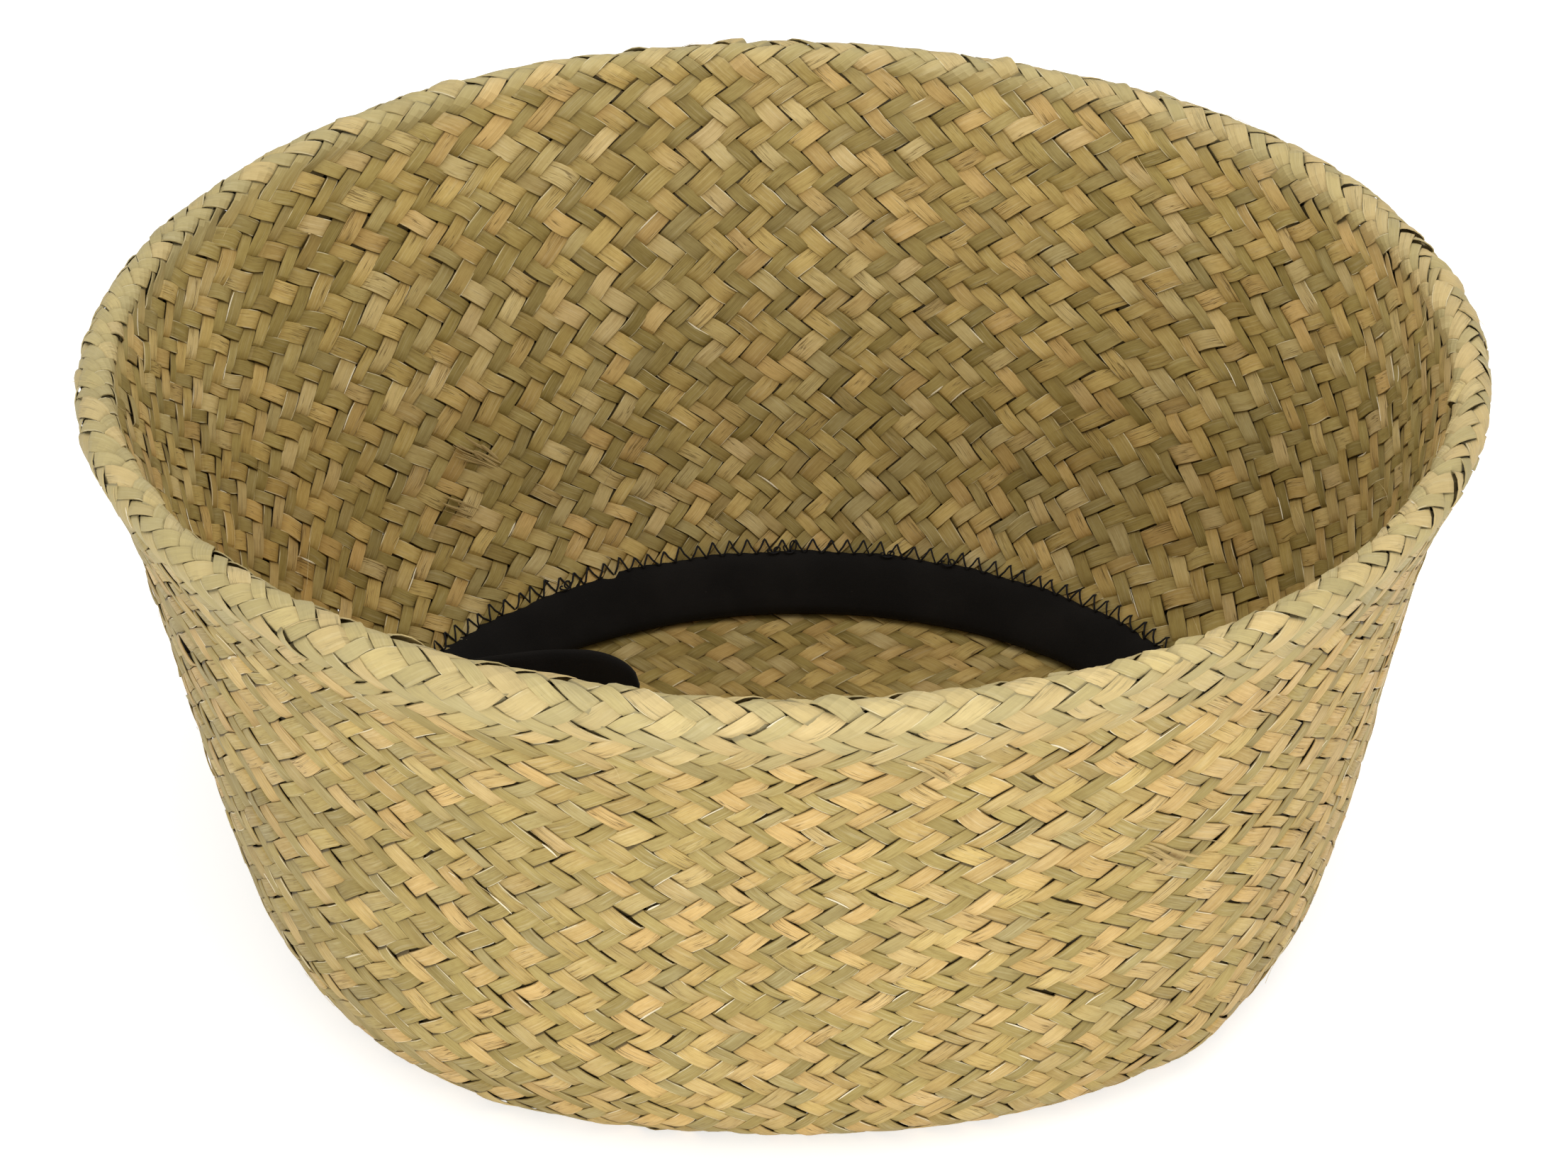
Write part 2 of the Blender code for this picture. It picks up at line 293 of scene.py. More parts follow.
def strand_mesh(name, strips, shown_below=False):
    """A mesh from strips of rings, smooth but for the creases along the cut edges of the leaf."""
    points, quads, facts, maps = [], [], {}, []
    begun = 0
    for slot, (strip, strip_facts, turned) in enumerate(strips):
        rings, wide = strip.shape[:2]
        points.append(strip.reshape(-1, 3))
        grid = begun + np.arange(rings * wide).reshape(rings, wide)
        beside = grid[:, 1:] if not shown_below else np.roll(grid, -1, 1)
        here = grid[:, :-1] if not shown_below else grid
        faces = np.stack([here[:-1], here[1:], beside[1:], beside[:-1]], -1).reshape(-1, 4)
        quads.append(faces if turned else faces[:, ::-1])
        for key, values in strip_facts.items():
            facts.setdefault(key, []).append(np.broadcast_to(values, (rings, wide)).ravel())
        along = np.linspace(chart_margin, 1 - chart_margin, rings)[:, None]
        side = chart_gap + (1 - 2 * chart_gap) * np.linspace(0, 1, wide)[None]
        side = (slot + side) / len(strips)
        maps.append(np.stack(np.broadcast_arrays(along, side), -1).reshape(-1, 2))
        begun += rings * wide
    points, quads, maps = np.concatenate(points), np.concatenate(quads), np.concatenate(maps)
    mesh = bpy.data.meshes.new(name)
    mesh.vertices.add(len(points))
    mesh.vertices.foreach_set("co", points.astype(np.float32).ravel())
    mesh.loops.add(quads.size)
    mesh.loops.foreach_set("vertex_index", quads.astype(np.int32).ravel())
    mesh.polygons.add(len(quads))
    mesh.polygons.foreach_set("loop_start", np.arange(0, quads.size, 4, dtype=np.int32))
    mesh.update(calc_edges=True)
    for key, values in facts.items():
        layer = mesh.attributes.new(key, "FLOAT", "POINT")
        layer.data.foreach_set("value", np.concatenate(values).astype(np.float32))
    chart = mesh.uv_layers.new(name="OFBake")
    chart.uv.foreach_set("vector", maps[quads.ravel()].astype(np.float32).ravel())
    mesh.shade_smooth()
    mesh.set_sharp_from_angle(angle=crease_angle)
    return placed(name, mesh)


# A soft plait never lies true. It strays in long and short waves, both halves are wrung a little
# about the fold, and low at the front right the wall bulges out.
slack_turns = (2, 3, 5, 7, 9, 13)
slack_slope = 60
slack_sideways = 0.038
slack_along = 0.0050
slack_off = 0.0012
short_waves = ((31, 170, 0.4), (43, -210, 2.1), (58, 300, 4.4))
short_sideways = 0.0008
short_along = 0.00014
wrung_inside = 0.26
wrung_outside = 0.16
foot_bulge_bearing = math.radians(312)
foot_bulge_radius = 0.17
foot_bulge_from_seam = 0.030
foot_bulge_rise = 0.0026
foot_bulge_reach = 0.011
end_fade = 0.02
slack_pick = np.random.default_rng(8)
slack_waves = [
    (
        turns,
        slack_pick.uniform(-slack_slope, slack_slope),
        slack_pick.uniform(0, math.tau),
        slack_pick.uniform(0, math.tau),
    )
    for turns in slack_turns
]


def slack(bearing, run):
    """How far the plait strays sideways, along and off its face, as a hand leaves it."""
    sideways = sum(slack_sideways / t * np.sin(t * bearing + q * run + a) for t, q, a, _ in slack_waves)
    along = sum(slack_along / t * np.sin(t * bearing + q * run + b) for t, q, _, b in slack_waves)
    off = sum(slack_off / t * np.sin(t * bearing - q * run + a + b) for t, q, a, b in slack_waves)
    for turns, rows, start in short_waves:
        sideways = sideways + short_sideways * np.sin(turns * bearing + rows * run + start)
        along = along + short_along * np.sin(turns * bearing - rows * run + 2 * start)
    from_fold = np.clip((run - fold_top_run) / fold_top_run, -1, 1)
    wrung = np.where(from_fold < 0, wrung_inside, wrung_outside)
    sideways = sideways + np.cos(bearing) ** 3 * from_fold * wrung
    from_bulge = (bearing % math.tau - foot_bulge_bearing) * foot_bulge_radius
    above_bulge = run - (whole_run - foot_bulge_from_seam)
    bulge = np.exp(-(from_bulge**2 + above_bulge**2) / (2 * foot_bulge_reach**2))
    return sideways, along, off + foot_bulge_rise * bulge


def on_strand(rising, owns, places, lift):
    """Points of a strand, from its own place, its place among those it crosses, and its lift."""
    falls, rises = (owns, places) if rising else (places, owns)
    bearing = math.pi * (falls + rises) / strands_each_way
    run = np.clip((rises - falls) * row_rise, 0, whole_run)
    sideways, along, off = slack(bearing, run)
    ends = np.clip(np.minimum(run, whole_run - run) / end_fade, 0, 1)
    lift = lift + strand_middle + off * ends
    return on_plait(bearing + sideways, run + along * ends, lift), run


# Every strand of the wall runs unbroken from the rim to the foot. A float's end is painted in shade on the
# side away from the front, and over the fold, where the leaf is bent hardest, the floats stand proud.
strand_half_share = 0.498
tilt_noise = 0.00016
fold_bend_reach = 0.014
fold_tilt = 1.4
fold_lift = 0.38
fold_lift_noise = 0.34
side_sharpness = 4
end_shade = 0.66
end_shade_by_side = 0.38
under_shade = 2
grain_start_reach = 9
shell_seed = 1000
right_hand_seed = 500


def place_strand(hand, strand, seed):
    """A strand of the wall: its points, what its material has to know, and the way it faces."""
    pick = np.random.default_rng(seed)
    width = hand.widths[strand]
    rows = whole_run / row_rise
    low, high = (0, rows) if hand.rising else (-rows, 0)
    places, owns, lifts, widths, floats, ends, crowns = strand_rings(hand, strand, low, high, pick)
    number = floats.max() + 1
    tilt = pick.normal(0, tilt_noise, number)[floats]
    bend = np.exp(-(((np.abs(places - owns) * row_rise - fold_top_run) / fold_bend_reach) ** 2))
    # Painted shade for each ring: at a float's ends, more on the side away from the front, and most below
    # the others
    rightward = np.clip(side_sharpness * np.cos(math.pi * (places + owns) / strands_each_way), -1, 1)
    float_end_shades = np.abs(ends) * (end_shade + end_shade_by_side * rightward * ends)
    painted_dip_shade = np.where(ends == 2, under_shade, float_end_shades)
    tilt = tilt * (1 + fold_tilt * bend)
    extra_lift = pick.normal(fold_lift, fold_lift_noise, number)[floats]
    lifts = lifts + bend * np.clip(lifts, 0, None) * extra_lift
    owns = owns[:, None] + across_places[None] * (widths * strand_half_share)[:, None]
    lift = lifts[:, None] - edge_drops[None] + tilt[:, None] * across_places[None]
    points, run = on_strand(hand.rising, owns, places[:, None] + 0 * owns, lift)
    facts = {
        "along": (places * crossing_step + pick.uniform(0, grain_start_reach))[:, None],
        "across": across_places[None] * width * strand_half_width,
        "edge": np.abs(across_places)[None],
        "pick": pick.random(),
        "wide": float(width > 1),
        "float_pick": pick.random(number)[floats][:, None],
        "share": run / whole_run,
        "painted_dip_shade": painted_dip_shade[:, None],
        "crown": crowns[:, None],
    }
    return points, facts, hand.rising


right_hand, left_hand = both_hands(strands_each_way, 3, 4)
shell_pieces = []
for name, hand, parity in (
    ("wide_strands_rising_right", right_hand, 0),
    ("narrow_strands_rising_right", right_hand, 1),
    ("wide_strands_rising_left", left_hand, 0),
    ("narrow_strands_rising_left", left_hand, 1),
):
    strips = [
        place_strand(hand, n, shell_seed + n + right_hand_seed * hand.rising)
        for n in range(parity, strands_each_way, 2)
    ]
    shell_pieces.append(strand_mesh(name, strips))


class Wire:
    """One socket of a material. Arithmetic adds Math nodes, and node() adds any other."""

    def __init__(self, tree, socket=None):
        self.tree = tree
        self.socket = socket

    def node(self, kind, settings, inputs, output=0):
        made = self.tree.nodes.new(kind)
        for name, value in settings.items():
            setattr(made, name, value)
        for name, value in inputs.items():
            if isinstance(value, Wire):
                self.tree.links.new(value.socket, made.inputs[name])
            else:
                made.inputs[name].default_value = value
        return Wire(self.tree, made.outputs[output])

    def feeds(self, made, name):
        self.tree.links.new(self.socket, made.inputs[name])

    def maths(self, operation, a, b=0.0):
        return self.node("ShaderNodeMath", {"operation": operation}, {0: a, 1: b})

    def __add__(self, other):
        return self.maths("ADD", self, other)

    def __radd__(self, other):
        return self.maths("ADD", other, self)

    def __sub__(self, other):
        return self.maths("SUBTRACT", self, other)

    def __rsub__(self, other):
        return self.maths("SUBTRACT", other, self)

    def __mul__(self, other):
        return self.maths("MULTIPLY", self, other)

    def __rmul__(self, other):
        return self.maths("MULTIPLY", other, self)


def rise(value, low, high):
    """0 below low, 1 above high and a smooth slope between."""
    span = {"Value": value, "From Min": low, "From Max": high}
    return value.node("ShaderNodeMapRange", {"interpolation_type": "SMOOTHSTEP"}, span)


def mixed(share, first, second, way="MIX"):
    settings = {"data_type": "RGBA", "blend_type": way}
    return share.node("ShaderNodeMix", settings, {0: share, 6: first, 7: second}, 2)


def shaded(share, colour, shade):
    """The colour, multiplied by the shade where the share is 1."""
    return mixed(share, colour, shade, "MULTIPLY")


def fact(start, name):
    """What the mesh says about a point under that name."""
    return start.node("ShaderNodeAttribute", {"attribute_name": name}, {}, 2)


def own_place(start):
    """Where a point is on the object, in metres."""
    return start.node("ShaderNodeTexCoord", {}, {}, 3)


def towards(place, direction):
    """How far a place lies that way from the middle of the basket."""
    return place.node("ShaderNodeVectorMath", {"operation": "DOT_PRODUCT"}, {0: place, 1: direction}, 1)


def noise(place, scale, detail):
    return place.node("ShaderNodeTexNoise", {}, {"Vector": place, "Scale": scale, "Detail": detail})


def blotches(x, y, z, detail=2):
    """Noise over three values, each already scaled to the size of the blotches."""
    return noise(x.node("ShaderNodeCombineXYZ", {}, {0: x, 1: y, 2: z}), 1, detail)


def bumped(height, strength, distance):
    return height.node("ShaderNodeBump", {}, {"Strength": strength, "Distance": distance, "Height": height})


def new_material(name):
    material = bpy.data.materials.new(name)
    material.use_nodes = True
    return material, Wire(material.node_tree), material.node_tree.nodes["Principled BSDF"]


# Dried leaf, from tan to green
straw = (0.664, 0.486, 0.174, 1)
tan = (0.704, 0.480, 0.188, 1)
orange_tan = (0.500, 0.310, 0.095, 1)
leaf_green = (0.472, 0.363, 0.125, 1)
olive = (0.354, 0.269, 0.086, 1)
pale_green = (0.570, 0.486, 0.250, 1)
pale_leaf = (0.800, 0.680, 0.390, 1)
# The pith under its skin, the dark of cracks and specks, and painted shade in gaps and along cut edges
pith = (0.880, 0.800, 0.560, 1)
crack_brown_and_edge_shade = (0.130, 0.078, 0.022, 1)
painted_gap_shade = (0.060, 0.040, 0.012, 1)
# What multiplies the leaf's colour: its own tones, and painted shade at float ends, inside and on the floor
float_shade = (0.58, 0.57, 0.47, 1)
fibre_shade = (0.46, 0.36, 0.16, 1)
mottle_shade = (0.62, 0.52, 0.30, 1)
painted_end_shade = (0.54, 0.47, 0.28, 1)
inside_shade = (0.73, 0.69, 0.48, 1)
weathered_shade = (0.84, 0.60, 0.26, 1)
floor_shade = (0.620, 0.550, 0.500, 1)


def seagrass(name, shade, brown=0.0):
    """Dry leaf: tan on the wide strands and green on the narrow, with fibres, cracks and pith, and painted
    shade at float ends, in gaps and inside.
    """
    material, start, shader = new_material(name)
    along, across, edge = fact(start, "along"), fact(start, "across"), fact(start, "edge")
    pick, wide, float_pick = fact(start, "pick"), fact(start, "wide"), fact(start, "float_pick")
    share, painted_dip_shade, crown = fact(start, "share"), fact(start, "painted_dip_shade"), fact(start, "crown")
    place = own_place(start)
    inside = 1 - rise(share, 0.40, 0.475)

    # Each strand's tan or green, riper towards the right of the outside
    slow = blotches(along * 16, pick * 91, 0, 1)
    other = blotches(along * 24, pick * 53, 7, 1)
    warm = mixed(rise(other + float_pick * 0.3 - inside * 0.14, 0.42, 0.75), straw, tan)
    stained = rise(blotches(along * 45, across * 330, pick * 57), 0.58, 0.76) * 0.40
    warm = mixed(stained, warm, orange_tan)
    cool = mixed(rise(other + float_pick * 0.35, 0.50, 0.95), leaf_green, olive)
    cool = mixed(rise(float_pick + slow * 0.4, 0.85, 1.15) * 0.36, cool, pale_green)
    riper = (1 - inside) * towards(place, (1, 0, 0)) * 0.9
    by_float = (float_pick - 0.5) * (0.16 + inside * 0.18)
    leaning = wide * 0.30 + slow * 0.50 + pick * 0.26 + by_float + inside * 0.06 + riper
    tan_share = rise(leaning, 0.42, 0.76)
    colour = mixed(tan_share, cool, warm)

    # Some floats darker, some bleached
    tone = rise(blotches(float_pick * 43, pick * 19, 3, 0), 0.36, 0.64)
    colour = shaded((1 - tone) * (0.42 + inside * 0.18), colour, float_shade)
    bleached = rise(blotches(float_pick * 61, pick * 23, along * 9, 0), 0.52, 0.68)
    colour = mixed(bleached * (0.14 + inside * 0.22) * (0.4 + wide * 0.6), colour, pale_leaf)

    # Fibres, pith, mottling, cracks and specks
    fibres = blotches(along * 80, across * 3200, pick * 77, 3)
    colour = shaded(rise(fibres, 0.35, 0.72) * 0.30, colour, fibre_shade)
    streaks = blotches(along * 60, across * 1500, pick * 17 + float_pick * 5, 1)
    colour = mixed(rise(streaks, 0.55, 0.70) * 0.12, colour, pith)
    mottle = blotches(along * 330, across * 700, pick * 71)
    colour = shaded(rise(mottle, 0.40, 0.70) * 0.20, colour, mottle_shade)
    torn = blotches(along * 55 + float_pick * 40, across * 1500, pick * 33, 1)
    torn_here = rise(blotches(along * 70, across * 260, float_pick * 9), 0.50, 0.62)
    cracked = 1 - rise(torn.maths("ABSOLUTE", torn - 0.5), 0.010, 0.034)
    cracked = cracked * torn_here * (0.35 + tan_share * 0.55)
    colour = mixed(cracked * 0.85, colour, crack_brown_and_edge_shade)
    specks = blotches(along * 1800, across * 2300, pick * 11, 1)
    colour = mixed(rise(specks, 0.74, 0.80) * 0.5, colour, crack_brown_and_edge_shade)

    # Painted shade towards a float's ends, pale slivers beside its cut edges, painted shade where it dives
    # under the others and a painted dark line along its cut edges
    colour = shaded((1 - crown) * (0.42 + inside * 0.40), colour, painted_end_shade)
    slivers = rise(blotches(along * 75, pick * 29, float_pick * 5), 0.575, 0.655)
    slivers = slivers * rise(edge, 0.86, 0.94) * (1 - rise(edge, 0.957, 0.985))
    colour = mixed(slivers * 0.80, colour, pith)
    # Painted shade where a float dips under the others and in the gaps below
    colour = mixed(rise(painted_dip_shade, 0.40, 0.95) * (0.86 - inside * 0.52), colour, painted_gap_shade)
    colour = mixed(rise(painted_dip_shade, 0.95, 1.5) * 0.84, colour, painted_gap_shade)
    # A painted dark line of shade along the cut edges
    colour = mixed(rise(edge, 0.957, 0.985) * 0.68, colour, crack_brown_and_edge_shade)

    # Paler over the fold, painted shade inside and on the floor mat, and browner at the left of the
    # folded-in wall
    fold_pale = rise(share, 0.44, 0.475) * (1 - rise(share, 0.505, 0.56))
    colour = mixed(fold_pale * 0.44, colour, pale_green)
    # Painted shade inside the basket, stronger on the green floats
    colour = shaded(inside * shade * (1.5 - tan_share * 0.75), colour, inside_shade)
    leftward = towards(place, (-1, -0.35, 0))
    weathered = rise(leftward, 0.08, 0.20) * (1 - rise(share, 0.12, 0.36)) * 0.80
    colour = shaded(weathered * (0.5 + tan_share * 0.5), colour, weathered_shade)
    # More painted shade on the floor mat, darker and browner
    colour = shaded(inside * brown, colour, floor_shade)

    relief = fibres * 0.5 + blotches(along * 260, across * 900, pick * 19) * 0.5 - cracked * 0.8
    rough = 0.52 + fibres * 0.16 + cracked * 0.15
    colour.feeds(shader, "Base Color")
    rough.feeds(shader, "Roughness")
    bumped(relief, 0.6, 0.00022).feeds(shader, "Normal")
    shader.inputs["Specular IOR Level"].default_value = 0.30
    return material


shell_grass = seagrass("seagrass_shell", 0.26)
for piece in shell_pieces:
    piece.data.materials.append(shell_grass)
    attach(piece, "basket")
    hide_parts("lower_wall", "fold_roll", "folded_in_wall")

# Splitting leaves pale slivers of pith along some of the strands' edges, and loose fibres that
# stand a little off the plait. In four places a strand is torn and its ends stick out: two on the
# front, right of the middle, and two at the back left of the folded-in wall.
sliver_count = 180
fibre_count = 240
rows_off_rim = 3
rows_off_foot = 6
shortest_share = 0.45
strip_across = np.array([-1, 0, 1])
strip_roundness = np.array([-0.00006, 0.00005, -0.00006])
strip_taper = np.array([0.25, 0.9, 1, 1, 0.9, 0.7, 0.2])
strip_curl = np.array([0, 0.02, 0.06, 0.14, 0.30, 0.58, 1.0])
torn_taper = np.array([0.3, 0.9, 1, 1, 0.9, 0.8, 0.3])
torn_curl = np.array([0, 0.03, 0.12, 0.30, 0.55, 0.80, 1.0])
# Bearing in degrees, height, whether it is on the folded-in wall, torn ends, and seed
torn_places = (
    (303.5, 0.107, False, 11, 71),
    (281, 0.159, False, 4, 72),
    (127, 0.074, True, 11, 73),
    (131, 0.062, True, 6, 74),
)


def loose_strip(rising, own, begin, end, across, wander, halves, lifts):
    """A thin strip on a strand, from begin to end, that tapers and lifts as the lists say."""
    rings = len(halves)
    places = np.linspace(begin, end, rings)[:, None] + np.zeros(len(strip_across))
    owns = (own + across + np.linspace(0, wander, rings))[:, None] + strip_across * halves[:, None]
    points, _ = on_strand(rising, owns, places, lifts[:, None] + strip_roundness)
    facts = {"along": places * crossing_step, "across": owns * strand_half_width * 2}
    return points, facts, rising


def loose_pieces(count, seed, longest, half, curl, wander):
    """Strips beside the edges of floats drawn by chance, curling up at one end."""
    pick = np.random.default_rng(seed)
    strips = []
    while len(strips) < count:
        hand = (right_hand, left_hand)[pick.integers(2)]
        strand = pick.integers(strands_each_way)
        row = pick.uniform(rows_off_rim, whole_run / row_rise - rows_off_foot) * (1 if hand.rising else -1)
        begin, end, _ = float_span(hand, strand, int(row // weave_repeat))
        size = (end - begin) * pick.uniform(shortest_share, longest)
        start = begin + (end - begin - size) * pick.random() if longest <= 1 else begin + 0.2
        side = hand.widths[strand] * 0.46 * pick.choice([-1, 1])
        halves = strip_taper * half * pick.uniform(0.6, 1.3)
        up = strip_curl[::-1] if pick.random() < 0.5 else strip_curl
        lifts = over_lift * 1.25 + up * curl * pick.random() ** 2
        own, stray = hand.middles[strand], pick.normal(0, wander)
        strips.append(loose_strip(hand.rising, own, start, start + size, side, stray, halves, lifts))
    return strips


def torn_strand(degrees, height, inside, count, seed):
    """Torn ends of one strand of the wall. They stand up off the plait and curl."""
    pick = np.random.default_rng(seed)
    half = even_runs < fold_top_run if inside else even_runs > fold_top_run
    run = even_runs[half][np.argmin(np.abs(even_heights[half] - height))]
    own = (math.radians(degrees) * strands_each_way / math.pi - run / row_rise) / 2
    place = own + run / row_rise
    strips = []
    for _ in range(count):
        halves = torn_taper * pick.uniform(0.03, 0.11)
        curl = torn_curl * pick.uniform(0.0008, 0.0036)
        across = pick.normal(0, 0.32)
        begin = place - pick.uniform(0.2, 1.4)
        end = place + pick.uniform(0.4, 2.4)
        stray = pick.normal(0, 0.16)
        strips.append(loose_strip(True, own, begin, end, across, stray, halves, over_lift * 1.3 + curl))
    return strips


def loose_material(name, pale, dark):
    material, start, shader = new_material(name)
    along, across = fact(start, "along"), fact(start, "across")
    mixed(blotches(along * 300, across * 4000, 0), pale, dark).feeds(shader, "Base Color")
    shader.inputs["Roughness"].default_value = 0.7
    shader.inputs["Specular IOR Level"].default_value = 0.2
    return material


pith_slivers = strand_mesh("pith_slivers", loose_pieces(sliver_count, 61, 0.98, 0.048, 0.0007, 0.03))
loose_fibres = strand_mesh("loose_fibres", loose_pieces(fibre_count, 62, 1.9, 0.020, 0.0030, 0.30))
torn_ends = strand_mesh("torn_strand_ends", [strip for torn in torn_places for strip in torn_strand(*torn)])
for piece, finish, pale, dark in (
    (pith_slivers, "pith_pale", (0.90, 0.84, 0.66, 1), (0.70, 0.58, 0.34, 1)),
    (loose_fibres, "fibre_straw", (0.68, 0.54, 0.27, 1), (0.42, 0.30, 0.12, 1)),
    (torn_ends, "torn_straw", (0.62, 0.47, 0.21, 1), (0.30, 0.20, 0.07, 1)),
):
    piece.data.materials.append(loose_material(finish, pale, dark))
    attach(piece, "basket")

# The floor is a flat mat of the same plait, with painted shade that makes it darker and a little browner.
# Its strands lie at 45 degrees to the front, over two and under two, and their ends run out into the foot of
# the wall.
mat_count = 54
mat_pitch = 0.00555
mat_reach = 0.1478
mat_across = np.array([-1, -0.91, 0, 0.91, 1, 0.91, 0, -0.91])
mat_faces_up = np.array([0, 1, 1, 1, 0, -1, -1, -1])
mat_half_share = 0.520
mat_strand_half = 0.00042
mat_crown = 0.00006
mat_lift_share = 0.86
mat_middle = weave_thickness * 0.5
mat_sway = 0.0009
mat_short_sway = 0.0006
mat_seed = 3000
fewest_rings = 8
# The share of the run at which the material takes a strand for one of the inside, so the floor gets the
# painted shade of the inside
inside_run_share = 0.2


def place_mat_strand(hand, strand, seed):
    """A strand of the floor, closed all round because it shows above and below."""
    pick = np.random.default_rng(seed)
    own, width = hand.middles[strand], hand.widths[strand]
    rings = strand_rings(hand, strand, -own, mat_count - own, pick)
    places, owns, lifts, widths, floats, _, crowns = rings
    owns = owns[:, None] + mat_across[None] * (widths * mat_half_share)[:, None]
    places = places[:, None] + 0 * owns
    middle = mat_count / 2
    falls, rises = (owns - middle, places - middle) if hand.rising else (places - middle, owns - middle)
    x = (falls + rises) * mat_pitch / math.sqrt(2)
    y = (rises - falls) * mat_pitch / math.sqrt(2)
    x = x + mat_sway * np.sin(41 * y + 19 * x + 1.3) + mat_short_sway * np.sin(83 * x - 31 * y)
    y = y + mat_sway * np.sin(37 * x - 23 * y + 0.4) + mat_short_sway * np.sin(71 * y + 43 * x)
    reach = np.hypot(x, y) / (1 - foot_squareness_share * np.cos(foot_sides * np.arctan2(y, x)))
    keep = reach[:, 2] < mat_reach
    lifts = lifts[:, None]
    crown = np.where(mat_across == 0, mat_crown, 0) * np.sign(lifts)
    z = mat_middle + lifts * mat_lift_share + (mat_faces_up * mat_strand_half)[None] + crown
    points = np.stack([x, y, np.clip(z, lowest_height, None)], -1)[keep]
    tones = pick.random(floats.max() + 1)
    upper = np.where(mat_faces_up < 0, -1, 1)[None]
    # How far below the crown each point lies, which sets its painted shade
    below_crown = (float_lifts.max() * over_lift - lifts * upper) * 1000
    facts = {
        "along": (places * mat_pitch + pick.uniform(0, grain_start_reach))[keep],
        "across": mat_across[None] * width * strand_half_width,
        "edge": np.abs(mat_across)[None],
        "pick": pick.random(),
        "wide": float(width > 1),
        "float_pick": tones[floats][:, None][keep],
        "share": inside_run_share,
        "crown": crowns[:, None][keep],
        "painted_dip_shade": np.clip(below_crown, 0, None)[keep],
    }
    return points, facts, hand.rising


mat_strips = []
for hand in both_hands(mat_count, 21, 22):
    for n in range(mat_count):
        strip = place_mat_strand(hand, n, mat_seed + n + right_hand_seed * hand.rising)
        if len(strip[0]) > fewest_rings:
            mat_strips.append(strip)
floor_mat = strand_mesh("floor_mat", mat_strips, shown_below=True)
floor_mat.data.materials.append(seagrass("seagrass_floor", 0.36, 0.30))
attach(floor_mat, "basket")
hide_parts("plaited_floor")

# The binding is a velour tape that straddles the rim. It is soft and thick, its lower edge rests on
# the floor mat, and the sewing presses small dips into its upper edge.
stitch_pitch = 0.0056
stitch_count = round(math.tau * stitched_edge.x / stitch_pitch)
band_rounds = stitch_count * 6
slot_half = weave_thickness * 0.5 + 0.0003
edge_zone = 0.004
edge_dip = 0.00012
edge_waver = 0.0003
long_swell = 0.0002
short_swell = 0.00015
turn_share = 0.62
turn_half = binding_half_thickness * 0.78
# Down from the stitched edge and off the middle of the rim, from its hidden side round to the mouth
band_profile = [
    (0.0002, -slot_half - 0.0004),
    (0.0012, -binding_half_thickness + 0.0002),
    (0.0060, -binding_half_thickness),
    (0.0120, -binding_half_thickness - 0.0001),
    (binding_turn, -binding_half_thickness),
    (binding_turn + binding_half_thickness * turn_share, -turn_half),
    (binding_turn + binding_half_thickness, 0),
    (binding_turn + binding_half_thickness * turn_share, turn_half),
    (binding_turn, binding_half_thickness + 0.0002),
    (0.0150, binding_half_thickness + 0.0004),
    (0.0110, binding_half_thickness + 0.0007),
    (0.0070, binding_half_thickness + 0.0006),
    (0.0038, binding_half_thickness + 0.0002),
    (0.0018, binding_half_thickness - 0.0005),
    (0.0005, binding_half_thickness - 0.0012),
    (0.0000, slot_half + 0.0001),
]


def on_rim(bearing, down, off):
    """Points about the rim, down along it from the stitched edge and off its middle to the mouth."""
    radius = rim_middle.x + rim_down.x * down + rim_face.x * off
    height = rim_middle.y + rim_down.y * down + rim_face.y * off
    x = radius * np.cos(bearing) + rim_drift[0]
    y = radius * np.sin(bearing) + rim_drift[1]
    return np.stack([x, y, height], -1)


def plain_piece(name, points, faces, material):
    mesh = bpy.data.meshes.new(name)
    mesh.from_pydata(points, [], faces)
    mesh.materials.append(material)
    return placed(name, mesh)


def velour_material(name):
    """Black pile: almost no colour, no gloss and a faint sheen, with a painted sheen, a lighter black, where
    the pile is brushed.
    """
    material, start, shader = new_material(name)
    place = own_place(start)
    brushed_pile_and_sheen = noise(place, 46, 3)
    pile = noise(place, 2600, 2)
    # Painted sheen: a lighter black in patches where the pile is brushed
    colour = mixed(rise(brushed_pile_and_sheen, 0.35, 0.7), (0.0112, 0.0103, 0.0096, 1), (0.0152, 0.0138, 0.0127, 1))
    lint = start.node("ShaderNodeTexVoronoi", {}, {"Vector": place, "Scale": 170})
    colour = mixed(1 - rise(lint, 0.012, 0.03), colour, (0.05, 0.045, 0.04, 1))
    colour.feeds(shader, "Base Color")
    bumped(pile + brushed_pile_and_sheen * 0.8, 0.6, 0.0003).feeds(shader, "Normal")
    shader.inputs["Roughness"].default_value = 0.95
    shader.inputs["Specular IOR Level"].default_value = 0.0
    shader.inputs["Sheen Weight"].default_value = 0.05
    shader.inputs["Sheen Roughness"].default_value = 0.5
    return material


turns = np.arange(band_rounds) * math.tau / band_rounds
band_points = []
for down, off in band_profile:
    near_edge = max(0, 1 - down / edge_zone)
    dip = near_edge * edge_dip * np.cos(turns * stitch_count)
    waver = near_edge * edge_waver * np.sin(31 * turns)
    swell = long_swell * np.sin(9 * turns + 40 * down) + short_swell * np.sin(23 * turns + 1 + 90 * down)
    outward = 0 if abs(off) < slot_half + 0.0005 else np.sign(off)
    band_points.append(on_rim(turns, down + dip + waver, off + outward * swell * (1 - near_edge)))
band_grid = np.stack(band_points, 1)
numbers = np.arange(band_grid.size // 3).reshape(band_grid.shape[:2])
following = np.roll(numbers, -1, 0)
band_faces = np.stack([numbers[:, :-1], numbers[:, 1:], following[:, 1:], following[:, :-1]], -1)
velour = velour_material("black_velour_pile")
band = plain_piece(
    "velour_binding", band_grid.reshape(-1, 3).tolist(), band_faces.reshape(-1, 4).tolist(), velour
)
band.data.shade_smooth()
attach(band, "basket")
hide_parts("rim_binding")

